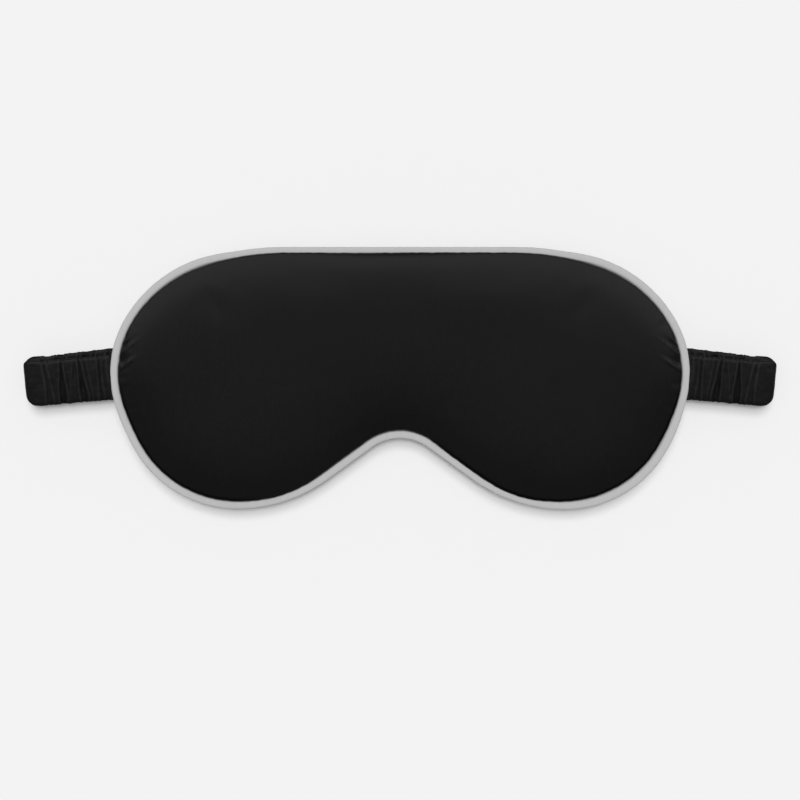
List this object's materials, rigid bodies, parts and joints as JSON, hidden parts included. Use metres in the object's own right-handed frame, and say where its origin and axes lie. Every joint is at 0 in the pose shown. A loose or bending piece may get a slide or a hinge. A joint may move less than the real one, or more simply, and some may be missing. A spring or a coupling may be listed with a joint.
{
  "type": "sleep eye mask",
  "caption": "Padded black satin sleep mask with pale grey piping, a nose notch and a gathered elastic strap folded behind it.",
  "frame": {"origin": "under the middle of the mask, on the surface it rests on", "axes": "+X to the viewer's right along the mask, +Y to the forehead edge, +Z out of the front face"},
  "size_m": [0.2736, 0.0964, 0.0179],
  "materials": {
    "cover_satin": "black satin weave",
    "wadding": "fibre wadding",
    "interlining": "matte woven interlining",
    "piping_satin": "pale grey satin bias strip",
    "cord": "twisted cotton cord",
    "seam_thread": "black polyester thread",
    "tack_thread": "black polyester thread",
    "strap_satin": "gathered black satin",
    "elastic": "braided elastic"
  },
  "bodies": {
    "strap_centre_left": {"strap_elastic_centre_left": "elastic", "strap_sleeve_centre_left": "strap_satin"},
    "strap_band_left": {"strap_elastic_band_left": "elastic", "strap_elastic_fold_left": "elastic", "strap_sleeve_band_left": "strap_satin", "strap_sleeve_fold_left": "strap_satin"},
    "strap_leg_left": {"strap_elastic_leg_left": "elastic", "strap_sleeve_leg_left": "strap_satin"},
    "mask": {"back_cover": "cover_satin", "back_padding": "wadding", "bar_tack_left": "tack_thread", "bar_tack_right": "tack_thread", "blackout_interlining": "interlining", "bobbin_thread": "seam_thread", "front_cover": "cover_satin", "front_padding": "wadding", "needle_thread": "seam_thread", "piping_cord": "cord", "piping_cover": "piping_satin", "strap_elastic_end_left": "elastic", "strap_elastic_end_right": "elastic", "strap_sleeve_end_left": "strap_satin", "strap_sleeve_end_right": "strap_satin"},
    "strap_leg_right": {"strap_elastic_leg_right": "elastic", "strap_sleeve_leg_right": "strap_satin"},
    "strap_band_right": {"strap_elastic_band_right": "elastic", "strap_elastic_fold_right": "elastic", "strap_sleeve_band_right": "strap_satin", "strap_sleeve_fold_right": "strap_satin"},
    "strap_centre_right": {"strap_elastic_centre_right": "elastic", "strap_sleeve_centre_right": "strap_satin"}
  },
  "joints": [
    {"name": "left_back_hinge", "type": "hinge", "parent": "strap_centre_left", "child": "strap_band_left", "pos_m": [-0.02, 0, 0.0018], "axis": [0, 1, 0], "range_deg": [0, 23.92]},
    {"name": "left_fold_hinge", "type": "hinge", "parent": "strap_band_left", "child": "strap_leg_left", "pos_m": [-0.131, 0, 0.0058], "axis": [0, 1, 0], "range_deg": [-75.92, 0], "deforming": ["strap_sleeve_fold_left", "strap_elastic_fold_left"]},
    {"name": "left_seam_hinge", "type": "hinge", "parent": "strap_leg_left", "child": "mask", "pos_m": [-0.1056, 0, 0.00767], "axis": [0, 1, 0], "range_deg": [0, 52]},
    {"name": "right_seam_hinge", "type": "hinge", "parent": "mask", "child": "strap_leg_right", "pos_m": [0.1056, 0, 0.00767], "axis": [0, 1, 0], "range_deg": [0, 52]},
    {"name": "right_fold_hinge", "type": "hinge", "parent": "strap_leg_right", "child": "strap_band_right", "pos_m": [0.131, 0, 0.0058], "axis": [0, 1, 0], "range_deg": [-75.92, 0], "deforming": ["strap_sleeve_fold_right", "strap_elastic_fold_right"]},
    {"name": "right_back_hinge", "type": "hinge", "parent": "strap_band_right", "child": "strap_centre_right", "pos_m": [0.02, 0, 0.0018], "axis": [0, 1, 0], "range_deg": [0, 23.92]}
  ],
  "couplings": [
    {"joint": "left_back_hinge", "follows": "left_seam_hinge", "ratio": 0.46},
    {"joint": "left_fold_hinge", "follows": "left_seam_hinge", "ratio": -1.46},
    {"joint": "right_seam_hinge", "follows": "left_seam_hinge", "ratio": 1},
    {"joint": "right_fold_hinge", "follows": "left_seam_hinge", "ratio": -1.46},
    {"joint": "right_back_hinge", "follows": "left_seam_hinge", "ratio": 0.46}
  ]
}
